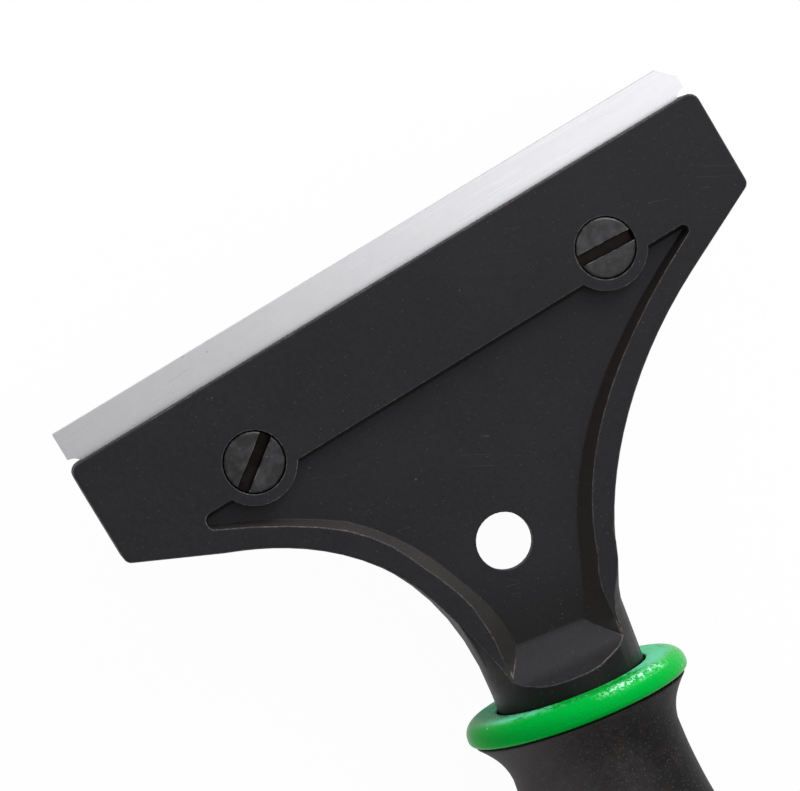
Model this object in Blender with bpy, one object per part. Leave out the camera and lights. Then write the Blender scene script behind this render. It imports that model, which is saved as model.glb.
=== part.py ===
"""Surface scraper with a four inch double-edged blade, a two-screw jaw and a rubber grip.

The head is drawn in millimetres in its own frame: X runs along the blade, +Y points to the
cutting edge, and +Z comes out of the front face, which is the plane z = 0 and holds both
screw centres. The handle leaves the head at a skew angle in that plane and has a frame of
its own: local Z runs down the handle, local Y comes out of the front. At the end the whole
tool is set down on its back, centred on the origin.
"""

import math

import bmesh
import bpy
from mathutils import Matrix, Vector

MM = 0.001

# Running clearance between pieces that touch
GAP = 0.3

# Blade
BLADE_LENGTH = 100.0
BLADE_WIDTH = 12.0
BLADE_THICKNESS = 0.6
BLADE_REACH = 5.05
BLADE_BEVEL = 0.7
BLADE_EDGE_LAND = 0.12
BLADE_NOTCH_RADIUS = 1.85
BLADE_CORNER_CUT = 2.35

# Head plate
HEAD_WIDTH = 101.0
JAW_HEIGHT = 12.4
FLANK_DROP = 2.75
FLANK_ANGLE = math.radians(25.6)
TOP_CORNER_RADIUS = 1.5
FLANK_CORNER_RADIUS = 1.2
BAND_THICKNESS = 5.6
FRONT_JAW = 2.6
BACK_EDGE_ROUND = 0.6
FRONT_EDGE_ROUND = 0.35

# Shoulders: where each flank starts to curve and how hard each curve pulls, left then right
SHOULDER_START = {-1: 13.3, 1: 14.3}
FLANK_PULL = {-1: 2.9, 1: 20.4}
NECK_PULL = {-1: 28.5, 1: 11.4}

# Handle axis and neck
HANDLE_SKEW = math.radians(9.8)
PIVOT_BACK = 15.1
AXIS_DEPTH = 6.9
NECK_RADIUS = 10.9
NECK_START = {-1: 33.4, 1: 26.9}
FRONT_SWELL_START = 19.0
BACK_SWELL_START = 4.0
SWELL_END = 31.5

# Pocket in the front face, its rims and the ramp up to the neck
POCKET_DEPTH = 2.0
POCKET_TOP = 2.75
RIM_WIDTH = 3.35
RIM_START = {-1: 11.8, 1: 10.1}
RIM_FLANK_PULL = {-1: 34.3, 1: 34.9}
RIM_NECK_PULL = {-1: 9.8, 1: 12.4}
RIM_TOE_OUT = {-1: math.radians(6.7), 1: math.radians(-2.6)}
RIM_TIP_WIDTH = 0.35
WALL_RUN_EAR = 0.6
WALL_RUN_NECK = 2.7
EAR_FLOOR_ROUND = {-1: 0.5, 1: 0.1}
BOSS_RADIUS = 6.0
RAMP_START = 27.2
RAMP_END = 33.5
RAMP_BULGE = math.radians(18.0)

# Web, hang hole and the pocket behind it
WEB_THICKNESS = 2.0
HOLE_DIAMETER = 8.1
HOLE_X = -4.3
HOLE_Y = -27.65
SEAT_WALL = 3.2
BACK_POCKET_END = 24.0

# Screws and nuts
SCREW_SPACING = 57.0
SCREW_HEAD_DIAMETER = 8.2
SCREW_HEAD_HEIGHT = 3.3
SCREW_PROUD = 0.15
SCREW_DIAMETER = 4.8
SCREW_LENGTH = 8.0
SCREW_EDGE_ROUND = 0.4
SCREW_TIP_CHAMFER = 0.5
SLOT_WIDTH = 1.3
SLOT_DEPTH = 1.6
SLOT_ANGLE = {-1: math.radians(37.0), 1: math.radians(-3.5)}
NUT_ACROSS_FLATS = 8.0
NUT_THICKNESS = 2.7

# Clamp plate
CLAMP_THICKNESS = 4.5
CLAMP_DROP = 7.5
CLAMP_NOSE = 1.4
CLAMP_BEVEL_RUN = 4.5

# Collar, handle tube, grip, pin and end cap, all turned about the handle axis
COLLAR_START = 35.85
COLLAR_HEIGHT = 3.3
COLLAR_RADIUS = 16.4
COLLAR_TOP_ROUND = 2.2
COLLAR_BOTTOM_ROUND = 0.8
SPIGOT_LENGTH = 30.0
TUBE_RADIUS = 10.4
TUBE_WALL = 1.7
GRIP_LENGTH = 118.0
GRIP_LIP_RADIUS = 15.8
GRIP_WAIST_RADIUS = 12.4
GRIP_WAIST_AT = 6.6
GRIP_BELLY_RADIUS = 16.0
GRIP_BELLY_AT = 38.5
GRIP_TAIL_RADIUS = 14.2
GRIP_TAIL_AT = 98.0
GRIP_END_RADIUS = 16.0
GRIP_EDGE_ROUND = 1.0
PIN_RADIUS = 1.5
PIN_AT = 16.0
CAP_THICKNESS = 3.0
CAP_RADIUS = 15.2
CAP_PLUG_LENGTH = 10.0
CAP_EDGE_ROUND = 1.0

# Facets of round work
ROUND_STEPS = 48
SMALL_ROUND_STEPS = 32
CORNER_STEPS = 8
CURVE_STEPS = 18
EAR_STEPS = 3

# How far a cutter runs past what it cuts, and the distance at which points count as one
PAST = 1.0
WELD = 0.002

BAND_BACK = -BAND_THICKNESS
CLAMP_FRONT = BAND_BACK - GAP
CLAMP_BACK = CLAMP_FRONT - CLAMP_THICKNESS
BLADE_TOP = -FRONT_JAW - GAP
BLADE_BACK_Y = JAW_HEIGHT + BLADE_REACH - BLADE_WIDTH
SEAT_Y = -CLAMP_DROP - GAP
COLLAR_END = COLLAR_START + COLLAR_HEIGHT
GRIP_START = COLLAR_END + GAP
GRIP_END = GRIP_START + GRIP_LENGTH
TUBE_BORE = TUBE_RADIUS - TUBE_WALL
SPIGOT_RADIUS = TUBE_BORE - GAP
NECK_TOP = NECK_RADIUS - AXIS_DEPTH
NECK_BOTTOM = -AXIS_DEPTH - NECK_RADIUS
SCREW_BORE = SCREW_DIAMETER / 2 + GAP


# Plane geometry

def bezier(start, start_pull, end_pull, end, steps):
    """Points of a cubic curve from start to end, given its two inner control points."""
    points = []
    for i in range(steps + 1):
        t = i / steps
        u = 1 - t
        points.append(start * u ** 3 + start_pull * 3 * u * u * t
                      + end_pull * 3 * u * t * t + end * t ** 3)
    return points


def arc(centre, radius, first, last, steps):
    """Points of a circular arc between two angles."""
    angles = [first + (last - first) * i / steps for i in range(steps + 1)]
    return [Vector((centre[0] + radius * math.cos(a), centre[1] + radius * math.sin(a)))
            for a in angles]


def rounded_corner(before, corner, after, radius):
    """Points of the arc that rounds one corner of an outline."""
    back = (before - corner).normalized()
    ahead = (after - corner).normalized()
    half = back.angle(ahead) / 2
    centre = corner + (back + ahead).normalized() * (radius / math.sin(half))
    touch = corner + back * (radius / math.tan(half)) - centre
    first = math.atan2(touch.y, touch.x)
    turn = math.copysign(math.pi - 2 * half, ahead.cross(back))
    return arc(centre, radius, first, first + turn, EAR_STEPS)


def smooth_step(value, low, high):
    """0 below low, 1 above high, with an S curve between."""
    t = min(max((value - low) / (high - low), 0.0), 1.0)
    return t * t * (3 - 2 * t)


def along_handle():
    """Direction of the handle in the head's XY plane."""
    return Vector((-math.sin(HANDLE_SKEW), -math.cos(HANDLE_SKEW)))


def across_handle():
    """Direction square to the handle in the head's XY plane, to the right."""
    return Vector((math.cos(HANDLE_SKEW), -math.sin(HANDLE_SKEW)))


def handle_point(along, across):
    """Point of the head's XY plane given in handle distances."""
    pivot = Vector((0.0, -PIVOT_BACK))
    return pivot + along_handle() * along + across_handle() * across


def handle_distance(point):
    """How far along the handle a point of the XY plane lies."""
    return (Vector(point) - handle_point(0.0, 0.0)).dot(along_handle())


def flank_direction(side):
    """Direction of a flank, from the head's lower corner toward the neck."""
    return Vector((-side * math.cos(FLANK_ANGLE), -math.sin(FLANK_ANGLE)))


def flank_inward(side):
    """Direction square to a flank, into the head."""
    return Vector((-side * math.sin(FLANK_ANGLE), math.cos(FLANK_ANGLE)))


def lower_corner(side):
    """Sharp lower corner of the head plate before it is rounded."""
    return Vector((side * HEAD_WIDTH / 2, -FLANK_DROP))


def jaw_outline(side):
    """Rounded end of the head from its blade edge to the flank, one side."""
    half = HEAD_WIDTH / 2
    centre = (half - TOP_CORNER_RADIUS, JAW_HEIGHT - TOP_CORNER_RADIUS)
    points = arc(centre, TOP_CORNER_RADIUS, math.pi / 2, 0.0, 4)
    turn = math.pi / 2 - FLANK_ANGLE
    setback = FLANK_CORNER_RADIUS * math.tan(turn / 2)
    centre = (half - FLANK_CORNER_RADIUS, -FLANK_DROP + setback)
    points += arc(centre, FLANK_CORNER_RADIUS, 0.0, -turn, 4)
    return [Vector((side * p.x, p.y)) for p in points]


def head_rail(side):
    """Outer edge of the head on one side, from the blade edge to the foot of the neck."""
    flank = flank_direction(side)
    start = lower_corner(side) + flank * SHOULDER_START[side]
    end = handle_point(NECK_START[side], side * NECK_RADIUS)
    curve = bezier(start, start + flank * FLANK_PULL[side],
                   end - along_handle() * NECK_PULL[side], end, CURVE_STEPS)
    foot = handle_point(COLLAR_END, side * NECK_RADIUS)
    return jaw_outline(side) + curve + [foot]


def pocket_rail(side):
    """Inner edge of the rim on one side of the pocket, from the ear to the rim's tip."""
    flank = flank_direction(side)
    start = lower_corner(side) + flank_inward(side) * RIM_WIDTH
    start += flank * RIM_START[side]
    chord = math.sqrt(NECK_RADIUS ** 2 - AXIS_DEPTH ** 2)
    end = handle_point(ramp_foot(), side * (chord - RIM_TIP_WIDTH))
    turn = HANDLE_SKEW - side * RIM_TOE_OUT[side]
    toe = Vector((-math.sin(turn), -math.cos(turn)))
    return bezier(start, start + flank * RIM_FLANK_PULL[side],
                  end - toe * RIM_NECK_PULL[side], end, CURVE_STEPS)


def ramp_curve():
    """The ramp seen from the side, as (distance down the handle, height) from floor to lip."""
    low = Vector((RAMP_START, -POCKET_DEPTH))
    chord = Vector((RAMP_END, NECK_TOP)) - low
    slope = math.atan2(chord.y, chord.x)
    radius = chord.length / (2 * math.sin(RAMP_BULGE))
    centre = low + radius * Vector((-math.sin(slope - RAMP_BULGE), math.cos(slope - RAMP_BULGE)))
    first = slope - RAMP_BULGE - math.pi / 2
    return arc(centre, radius, first, first + 2 * RAMP_BULGE, CORNER_STEPS)


def ramp_foot():
    """Distance down the handle at which the ramp passes the plane of the front face."""
    curve = ramp_curve()
    for low, high in zip(curve, curve[1:]):
        if low.y <= 0 < high.y:
            return low.x + (high.x - low.x) * -low.y / (high.y - low.y)
    return RAMP_END


# Mesh building

def link(name, mesh):
    """Object in the scene from a mesh, with its origin at the mesh origin."""
    item = bpy.data.objects.new(name, mesh)
    bpy.context.scene.collection.objects.link(item)
    return item


def mesh_object(name, vertices, faces):
    """Closed mesh from vertices in millimetres, its faces turned outward."""
    work = bmesh.new()
    made = [work.verts.new(Vector(v) * MM) for v in vertices]
    for face in faces:
        work.faces.new([made[i] for i in face])
    bmesh.ops.recalc_face_normals(work, faces=work.faces)
    mesh = bpy.data.meshes.new(name)
    work.to_mesh(mesh)
    work.free()
    return link(name, mesh)


def loft(name, loops):
    """Skin over loops with the same number of points, closed at both ends."""
    count = len(loops[0])
    vertices = [p for loop in loops for p in loop]
    faces = [list(range(count)), list(range(len(vertices) - count, len(vertices)))]
    for k in range(len(loops) - 1):
        for i in range(count):
            j = (i + 1) % count
            low = k * count
            faces.append([low + i, low + j, low + count + j, low + count + i])
    return mesh_object(name, vertices, faces)


def prism(name, outline, low, high):
    """Outline in the XY plane extruded between two heights."""
    return loft(name, [[(p[0], p[1], z) for p in outline] for z in (low, high)])


def handle_prism(name, outline, half_width):
    """Outline of (distance down the handle, height) extruded across the handle."""
    loops = []
    for across in (-half_width, half_width):
        loop = []
        for along, height in outline:
            spot = handle_point(along, across)
            loop.append((spot.x, spot.y, height))
        loops.append(loop)
    return loft(name, loops)


def turned(name, profile, steps):
    """Profile of (height, radius) turned about local Z; radius 0 at both ends makes it solid."""
    solid = profile[0][1] == 0
    rings = profile[1:-1] if solid else profile
    vertices = []
    for height, radius in rings:
        for i in range(steps):
            turn = 2 * math.pi * i / steps
            vertices.append((radius * math.cos(turn), radius * math.sin(turn), height))
    faces = []
    spans = len(rings) - 1 if solid else len(rings)
    for k in range(spans):
        low = k * steps
        high = ((k + 1) % len(rings)) * steps
        for i in range(steps):
            j = (i + 1) % steps
            faces.append([low + i, low + j, high + j, high + i])
    if solid:
        faces.append(list(range(steps)))
        faces.append(list(range(len(vertices) - steps, len(vertices))))
    return mesh_object(name, vertices, faces)


def cylinder(name, radius, low, high, steps=SMALL_ROUND_STEPS):
    """Plain round bar about local Z."""
    profile = [(low, 0), (low, radius), (high, radius), (high, 0)]
    return turned(name, profile, steps)


def move(item, place, turn=0.0):
    """Shift a mesh inside its object by millimetres, after a turn about Z."""
    shift = Matrix.Translation(Vector(place) * MM) @ Matrix.Rotation(turn, 4, "Z")
    item.data.transform(shift)
    return item


def weld(mesh):
    """Close up points that a cut left on top of one another."""
    work = bmesh.new()
    work.from_mesh(mesh)
    bmesh.ops.remove_doubles(work, verts=work.verts, dist=WELD * MM)
    bmesh.ops.dissolve_degenerate(work, edges=work.edges, dist=WELD * MM)
    work.to_mesh(mesh)
    work.free()


def combine(target, tool, operation):
    """Boolean of target with tool, which is used up."""
    modifier = target.modifiers.new(operation.lower(), "BOOLEAN")
    modifier.operation = operation
    modifier.solver = "EXACT"
    modifier.object = tool
    graph = bpy.context.evaluated_depsgraph_get()
    result = bpy.data.meshes.new_from_object(target.evaluated_get(graph))
    target.modifiers.clear()
    weld(result)
    spent = [target.data, tool.data]
    target.data = result
    bpy.data.objects.remove(tool)
    for mesh in spent:
        bpy.data.meshes.remove(mesh)
    return target


def cut(target, tool):
    """Take the tool away from the target."""
    return combine(target, tool, "DIFFERENCE")


def finish(item, material, parent, sharp_angle=35.0):
    """Give a finished piece its material, its parent and smooth shading on round faces."""
    item.data.materials.clear()
    item.data.materials.append(material)
    item.data.shade_smooth()
    item.data.set_sharp_from_angle(angle=math.radians(sharp_angle))
    item.parent = parent
    return item


def plain_material(name, colour, roughness, metallic=0.0):
    """Principled material in one colour."""
    material = bpy.data.materials.new(name)
    material.use_nodes = True
    shader = material.node_tree.nodes["Principled BSDF"]
    shader.inputs["Base Color"].default_value = (*colour, 1.0)
    shader.inputs["Roughness"].default_value = roughness
    shader.inputs["Metallic"].default_value = metallic
    return material


# Head body

def rounded_section(half_width, low, high, low_round, high_round):
    """Rounded box seen end on, as (across, height) points, with unlike lower and upper corners.

    The points lie half a step inside each quarter turn, so that corners that grow into a full
    circle never share a point.
    """
    points = []
    corners = ((1, high, high_round, 0.0), (-1, high, high_round, 90.0),
               (-1, low, low_round, 180.0), (1, low, low_round, 270.0))
    for side, edge, radius, first in corners:
        inward = -radius if edge == high else radius
        centre = (side * (half_width - radius), edge + inward)
        half_step = math.pi / 4 / CORNER_STEPS
        start = math.radians(first) + half_step
        end = math.radians(first + 90.0) - half_step
        points += arc(centre, radius, start, end, CORNER_STEPS - 1)
    return points


def head_section(left, right):
    """Section of the head in the upright plane through two rail points."""
    middle = (left + right) / 2
    reach = right - left
    direction = reach.normalized()
    down = handle_distance(middle)
    front = smooth_step(down, FRONT_SWELL_START, SWELL_END)
    back = smooth_step(down, BACK_SWELL_START, SWELL_END)
    high = PAST + (NECK_TOP - PAST) * front
    high_round = BACK_EDGE_ROUND + (NECK_RADIUS - BACK_EDGE_ROUND) * front
    low = CLAMP_BACK + (NECK_BOTTOM - CLAMP_BACK) * back
    low_round = BACK_EDGE_ROUND + (NECK_RADIUS - BACK_EDGE_ROUND) * back
    loop = []
    for across, height in rounded_section(reach.length / 2, low, high, low_round, high_round):
        spot = middle + direction * across
        loop.append((spot.x, spot.y, height))
    return loop


def head_form():
    """Outer form: one loft from the square jaw through the shoulders to the round neck."""
    loops = [head_section(a, b) for a, b in zip(head_rail(-1), head_rail(1))]
    return loft("head_body", loops)


def pocket_loop(height):
    """Outline of the front pocket at a height, its walls leaning outward up to the rim."""
    lean = 1 - (height + POCKET_DEPTH) / POCKET_DEPTH
    loop = []
    for side in (-1, 1):
        rail = pocket_rail(side)
        inner = []
        for i, point in enumerate(rail):
            share = i / CURVE_STEPS
            run = WALL_RUN_EAR + (WALL_RUN_NECK - WALL_RUN_EAR) * share
            ahead = rail[min(i + 1, CURVE_STEPS)] - rail[max(i - 1, 0)]
            inward = side * Vector((ahead.y, -ahead.x)).normalized()
            inner.append(point + inward * run * lean)
        ear_y = -POCKET_TOP - WALL_RUN_EAR * lean
        ear_round = EAR_FLOOR_ROUND[side] + WALL_RUN_EAR * (1 - lean)
        corner = Vector((inner[0].x, ear_y))
        middle = Vector((0.0, ear_y))
        ear = rounded_corner(middle, corner, inner[0], ear_round)
        ear += rounded_corner(corner, inner[0], inner[1], ear_round)
        inner[:1] = ear
        below = handle_point(RAMP_END + PAST, 0.0) - handle_point(ramp_foot(), 0.0)
        inner.append(inner[-1] + below)
        loop += inner if side < 0 else inner[::-1]
    return [(p.x, p.y, height) for p in loop]


def front_cutter():
    """All that is cleared in front of the head: above the face, the pocket, up to the ramp."""
    far = HEAD_WIDTH
    headroom = 2 * NECK_TOP
    cutter = handle_prism("front_cutter", [(-far, 0.0), (far, 0.0), (far, headroom),
                                           (-far, headroom)], far)
    pocket = loft("pocket", [pocket_loop(-POCKET_DEPTH), pocket_loop(PAST / 2)])
    for side in (-1, 1):
        boss = cylinder("boss", BOSS_RADIUS, -POCKET_DEPTH - PAST, PAST)
        cut(pocket, move(boss, (side * SCREW_SPACING / 2, 0, 0)))
    combine(cutter, pocket, "UNION")
    curve = ramp_curve()
    entry = (curve[1] - curve[0]).normalized()
    leave = (curve[-1] - curve[-2]).normalized()
    below = curve[0] - entry * POCKET_DEPTH
    above = curve[-1] + leave * (2 * headroom)
    outline = [below, *curve, above, Vector((2 * far, above.y)), Vector((2 * far, below.y))]
    return cut(cutter, handle_prism("ramp", outline, 2 * far))


def round_front_edge(item):
    """Round the head's front edge where its upright sides meet the face."""
    work = bmesh.new()
    work.from_mesh(item.data)
    deep = -(POCKET_DEPTH + PAST) * MM
    chosen = []
    for edge in work.edges:
        on_face = all(abs(v.co.z) < GAP * MM / 10 for v in edge.verts)
        if not on_face or len(edge.link_faces) != 2:
            continue
        middle = (edge.verts[0].co + edge.verts[1].co) / 2 / MM
        before_swell = handle_distance(middle.xy) < FRONT_SWELL_START
        sides = [f for f in edge.link_faces if abs(f.normal.z) < 0.5]
        if len(sides) == 1 and before_swell and min(v.co.z for v in sides[0].verts) < deep:
            chosen.append(edge)
    bmesh.ops.bevel(work, geom=chosen, offset=FRONT_EDGE_ROUND * MM, segments=2, profile=0.5,
                    affect="EDGES", clamp_overlap=False)
    work.to_mesh(item.data)
    work.free()


def back_pocket():
    """Pocket behind the web, between the seat's wall, the rims and the root of the neck."""
    top = SEAT_Y - SEAT_WALL
    outline = []
    for side in (-1, 1):
        rail = pocket_rail(side)
        inside = [p for p in rail if p.y < top and handle_distance(p) < BACK_POCKET_END]
        for high, low in zip(rail, rail[1:]):
            if high.y >= top > low.y:
                inside.insert(0, high.lerp(low, (high.y - top) / (high.y - low.y)))
        outline += inside if side < 0 else inside[::-1]
    return prism("back_pocket", outline, 2 * NECK_BOTTOM, -POCKET_DEPTH - WEB_THICKNESS)


def block(name, x_reach, y_low, y_high, z_low, z_high):
    """Plain box, centred in X."""
    outline = [(-x_reach, y_low), (x_reach, y_low), (x_reach, y_high), (-x_reach, y_high)]
    return prism(name, outline, z_low, z_high)


def head_body():
    """Moulded head: jaw, shoulders, web and neck in one piece, with the spigot for the tube."""
    head = head_form()
    cut(head, front_cutter())
    round_front_edge(head)
    far = HEAD_WIDTH
    cut(head, block("clamp_seat", far, SEAT_Y, far, -far, BAND_BACK))
    cut(head, block("blade_rebate", far, BLADE_BACK_Y - GAP, far, -far, -FRONT_JAW))
    cut(head, back_pocket())
    hole = cylinder("hang_hole", HOLE_DIAMETER / 2, -far, PAST)
    cut(head, move(hole, (HOLE_X, HOLE_Y, 0)))
    for side in (-1, 1):
        place = (side * SCREW_SPACING / 2, 0, 0)
        floor = SCREW_PROUD - SCREW_HEAD_HEIGHT - GAP
        profile = [(-far, 0), (-far, SCREW_BORE), (floor, SCREW_BORE),
                   (floor, SCREW_HEAD_DIAMETER / 2 + GAP), (PAST, SCREW_HEAD_DIAMETER / 2 + GAP),
                   (PAST, 0)]
        cut(head, move(turned("screw_bore", profile, SMALL_ROUND_STEPS), place))
    spigot = cylinder("spigot", SPIGOT_RADIUS, COLLAR_START, COLLAR_END + SPIGOT_LENGTH,
                      ROUND_STEPS)
    spigot.data.transform(handle_matrix())
    combine(head, spigot, "UNION")
    bore = pin_bore()
    bore.data.transform(handle_matrix())
    return cut(head, bore)


def handle_matrix():
    """Place of the handle's frame in the head: X to the right, Y out of the face, Z down."""
    across = across_handle()
    along = along_handle()
    turn = Matrix(((across.x, 0, along.x), (across.y, 0, along.y), (0, 1, 0))).to_4x4()
    start = handle_point(0.0, 0.0)
    return Matrix.Translation(Vector((start.x, start.y, -AXIS_DEPTH)) * MM) @ turn


# Jaw pieces

def blade_outline():
    """Double-edged blade about its own middle, with end notches and two cut corners."""
    half = BLADE_LENGTH / 2
    edge = BLADE_WIDTH / 2
    right = arc((half, 0.0), BLADE_NOTCH_RADIUS, 1.5 * math.pi, 0.5 * math.pi, 10)
    chain = [Vector((half, -edge)), *right, Vector((half, edge - BLADE_CORNER_CUT)),
             Vector((half - BLADE_CORNER_CUT, edge))]
    return chain + [-p for p in chain]


def blade():
    """Flat strip whose long edges are ground to a narrow land from both faces."""
    outline = blade_outline()
    edge = BLADE_WIDTH / 2
    loops = []
    for height, trim in ((-BLADE_THICKNESS, BLADE_BEVEL),
                         (-(BLADE_THICKNESS + BLADE_EDGE_LAND) / 2, 0.0),
                         (-(BLADE_THICKNESS - BLADE_EDGE_LAND) / 2, 0.0),
                         (0.0, BLADE_BEVEL)):
        limit = edge - trim
        loops.append([(p.x, min(max(p.y, -limit), limit), height) for p in outline])
    item = loft("blade", loops)
    return move(item, (0, BLADE_BACK_Y + edge, BLADE_TOP))


def screw(side):
    """Slotted cheese-head screw about its own axis, its origin in the plane of the face."""
    radius = SCREW_HEAD_DIAMETER / 2
    shank = SCREW_DIAMETER / 2
    seat = SCREW_PROUD - SCREW_HEAD_HEIGHT
    tip = seat - SCREW_LENGTH
    rim = arc((radius - SCREW_EDGE_ROUND, SCREW_PROUD - SCREW_EDGE_ROUND), SCREW_EDGE_ROUND,
              0.0, math.pi / 2, 3)
    profile = [(tip, 0), (tip, shank - SCREW_TIP_CHAMFER), (tip + SCREW_TIP_CHAMFER, shank),
               (seat, shank), (seat, radius)] + [(p.y, p.x) for p in rim] + [(SCREW_PROUD, 0)]
    name = "screw_left" if side < 0 else "screw_right"
    item = turned(name, profile, SMALL_ROUND_STEPS)
    slot = block("slot", SCREW_HEAD_DIAMETER, -SLOT_WIDTH / 2, SLOT_WIDTH / 2,
                 SCREW_PROUD - SLOT_DEPTH, PAST)
    cut(item, slot)
    move(item, (0, 0, 0), SLOT_ANGLE[side])
    item.location = Vector((side * SCREW_SPACING / 2, 0, 0)) * MM
    return item


def hexagon(across_flats):
    """Six corners of a nut with two flats square to Y."""
    radius = across_flats / math.sqrt(3)
    return arc((0, 0), radius, 0.0, 5 * math.pi / 3, 5)


def nut(side):
    """Thin hexagon nut seated in the back of the clamp plate."""
    name = "nut_left" if side < 0 else "nut_right"
    item = prism(name, hexagon(NUT_ACROSS_FLATS), CLAMP_BACK, CLAMP_BACK + NUT_THICKNESS)
    cut(item, cylinder("nut_bore", SCREW_BORE, 2 * CLAMP_BACK, PAST))
    item.location = Vector((side * SCREW_SPACING / 2, 0, 0)) * MM
    return item


def clamp_plate():
    """Back jaw: the head's outline behind the band, with a lip up to the blade."""
    outline = []
    for side in (-1, 1):
        chain = jaw_outline(side)
        flank = flank_direction(side)
        corner = lower_corner(side)
        chain.append(corner + flank * ((CLAMP_DROP - FLANK_DROP) / math.sin(FLANK_ANGLE)))
        outline += chain if side < 0 else chain[::-1]
    lip_top = BLADE_TOP - BLADE_THICKNESS - GAP
    plate = prism("clamp_plate", outline, CLAMP_BACK, lip_top)
    far = HEAD_WIDTH
    cut(plate, block("shelf", far, -far, BLADE_BACK_Y, CLAMP_FRONT, far))
    bevel = loft("bevel", [[(x, JAW_HEIGHT - CLAMP_BEVEL_RUN, CLAMP_BACK - PAST),
                            (x, JAW_HEIGHT - CLAMP_BEVEL_RUN, CLAMP_BACK),
                            (x, JAW_HEIGHT, lip_top - CLAMP_NOSE),
                            (x, JAW_HEIGHT + CLAMP_BEVEL_RUN, lip_top - CLAMP_NOSE),
                            (x, JAW_HEIGHT + CLAMP_BEVEL_RUN, CLAMP_BACK - PAST)]
                           for x in (-far, far)])
    cut(plate, bevel)
    for side in (-1, 1):
        place = (side * SCREW_SPACING / 2, 0, 0)
        cut(plate, move(cylinder("bore", SCREW_BORE, 2 * CLAMP_BACK, PAST), place))
        seat = prism("nut_seat", hexagon(NUT_ACROSS_FLATS + 2 * GAP), 2 * CLAMP_BACK,
                     CLAMP_BACK + NUT_THICKNESS + GAP)
        cut(plate, move(seat, place))
    return plate


# Handle pieces, each about the handle axis

def collar_ring():
    """Ring round the foot of the neck, its upper rim well rounded."""
    top = arc((COLLAR_START + COLLAR_TOP_ROUND, COLLAR_RADIUS - COLLAR_TOP_ROUND),
              COLLAR_TOP_ROUND, math.pi, math.pi / 2, 6)
    bottom = arc((COLLAR_END - COLLAR_BOTTOM_ROUND, COLLAR_RADIUS - COLLAR_BOTTOM_ROUND),
                 COLLAR_BOTTOM_ROUND, math.pi / 2, 0.0, 4)
    inner = NECK_RADIUS + GAP
    profile = [(COLLAR_START, inner), *[(p.x, p.y) for p in top + bottom], (COLLAR_END, inner)]
    return turned("collar_ring", profile, ROUND_STEPS)


def eased(start, end, steps):
    """Points after start up to end, rising or falling in an S curve."""
    points = []
    for i in range(1, steps + 1):
        t = i / steps
        share = smooth_step(t, 0.0, 1.0)
        points.append((start[0] + (end[0] - start[0]) * t,
                       start[1] + (end[1] - start[1]) * share))
    return points


def grip_sleeve():
    """Rubber grip: flared lip, waist, belly, tail and rounded end round the tube."""
    lip = (GRIP_START, GRIP_LIP_RADIUS)
    waist = (GRIP_START + GRIP_WAIST_AT, GRIP_WAIST_RADIUS)
    profile = [(GRIP_START, TUBE_RADIUS + GAP), lip]
    for i in range(1, CORNER_STEPS + 1):
        t = i / CORNER_STEPS
        profile.append((lip[0] + (waist[0] - lip[0]) * t,
                        waist[1] + (lip[1] - waist[1]) * (1 - t) ** 2))
    belly = (GRIP_START + GRIP_BELLY_AT, GRIP_BELLY_RADIUS)
    tail = (GRIP_START + GRIP_TAIL_AT, GRIP_TAIL_RADIUS)
    end = (GRIP_END - GRIP_EDGE_ROUND, GRIP_END_RADIUS)
    profile += eased(waist, belly, CORNER_STEPS)
    profile += eased(belly, tail, CORNER_STEPS)
    profile += eased(tail, end, CORNER_STEPS - 1)
    rim = arc((end[0], end[1] - GRIP_EDGE_ROUND), GRIP_EDGE_ROUND, math.pi / 2, 0.0, 3)
    profile += [(p.x, p.y) for p in rim[1:]]
    profile.append((GRIP_END, TUBE_RADIUS + GAP))
    return turned("grip_sleeve", profile, ROUND_STEPS)


def pin_bore():
    """Cross bore for the retaining pin, in the handle's frame."""
    bore = cylinder("pin_bore", PIN_RADIUS + GAP, -2 * TUBE_RADIUS, 2 * TUBE_RADIUS, 20)
    bore.data.transform(Matrix.Rotation(math.pi / 2, 4, "Y"))
    return move(bore, (0, 0, GRIP_START + PIN_AT))


def handle_tube():
    """Core tube of the handle, pushed over the spigot and cross-bored for the pin."""
    profile = [(GRIP_START, TUBE_BORE), (GRIP_START, TUBE_RADIUS),
               (GRIP_END, TUBE_RADIUS), (GRIP_END, TUBE_BORE)]
    return cut(turned("handle_tube", profile, ROUND_STEPS), pin_bore())


def retaining_pin():
    """Pin across tube and spigot that keeps the head on the handle."""
    item = cylinder("retaining_pin", PIN_RADIUS, -TUBE_RADIUS, TUBE_RADIUS, 20)
    item.data.transform(Matrix.Rotation(math.pi / 2, 4, "Y"))
    return move(item, (0, 0, GRIP_START + PIN_AT))


def end_cap():
    """Plug with a round flange that closes the end of the tube and the grip."""
    low = GRIP_END + GAP
    high = low + CAP_THICKNESS
    rim = arc((high - CAP_EDGE_ROUND, CAP_RADIUS - CAP_EDGE_ROUND), CAP_EDGE_ROUND,
              math.pi / 2, 0.0, 3)
    profile = [(low - CAP_PLUG_LENGTH, 0), (low - CAP_PLUG_LENGTH, SPIGOT_RADIUS),
               (low, SPIGOT_RADIUS), (low, CAP_RADIUS)]
    profile += [(p.x, p.y) for p in rim] + [(high, 0)]
    return turned("end_cap", profile, ROUND_STEPS)


# Assembly

def empty(name, parent=None):
    """Empty that carries other objects."""
    holder = bpy.data.objects.new(name, None)
    bpy.context.scene.collection.objects.link(holder)
    holder.parent = parent
    return holder


def set_down(root):
    """Centre the tool on the origin and rest its lowest point on the ground."""
    bpy.context.view_layer.update()
    corners = []
    for item in bpy.data.objects:
        if item.type == "MESH":
            corners += [item.matrix_world @ v.co for v in item.data.vertices]
    xs, ys, zs = zip(*corners)
    root.location = (-(min(xs) + max(xs)) / 2, -(min(ys) + max(ys)) / 2, -min(zs))


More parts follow.
